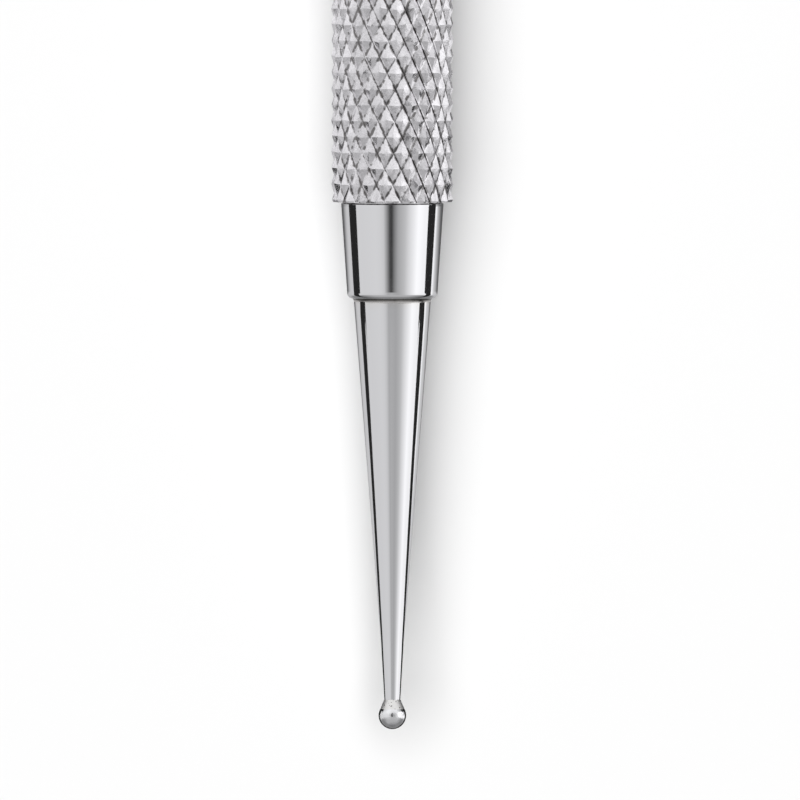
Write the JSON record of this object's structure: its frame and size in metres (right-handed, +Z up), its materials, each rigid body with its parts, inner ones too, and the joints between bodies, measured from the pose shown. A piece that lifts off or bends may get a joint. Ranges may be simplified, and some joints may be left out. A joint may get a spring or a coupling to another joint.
{
  "type": "cuticle pusher",
  "caption": "Double-ended steel cuticle pusher: knurled tube handle, tapered collars, a long cone ending in a small ball, and a forged spoon blade.",
  "frame": {"origin": "on the plane the tool lies on, under the middle of its length and on its centre line", "axes": "+X along the tool towards the spoon blade, -X towards the ball, +Z up, +Y to the left when looking along +X; the blade's hollow side faces down"},
  "size_m": [0.148, 0.008, 0.008],
  "materials": {
    "knurled_steel": "satin",
    "polished_steel": "polished",
    "braze": "satin"
  },
  "bodies": {
    "root": {"handle_tube": "knurled_steel", "ball_end_collar": "polished_steel", "ball_end_shank": "polished_steel", "ball_end_shank_braze": "braze", "ball_tip": "polished_steel", "ball_tip_braze": "braze", "pusher_end_collar": "polished_steel", "pusher_blade_shank": "polished_steel", "pusher_end_shank_braze": "braze"}
  },
  "joints": []
}
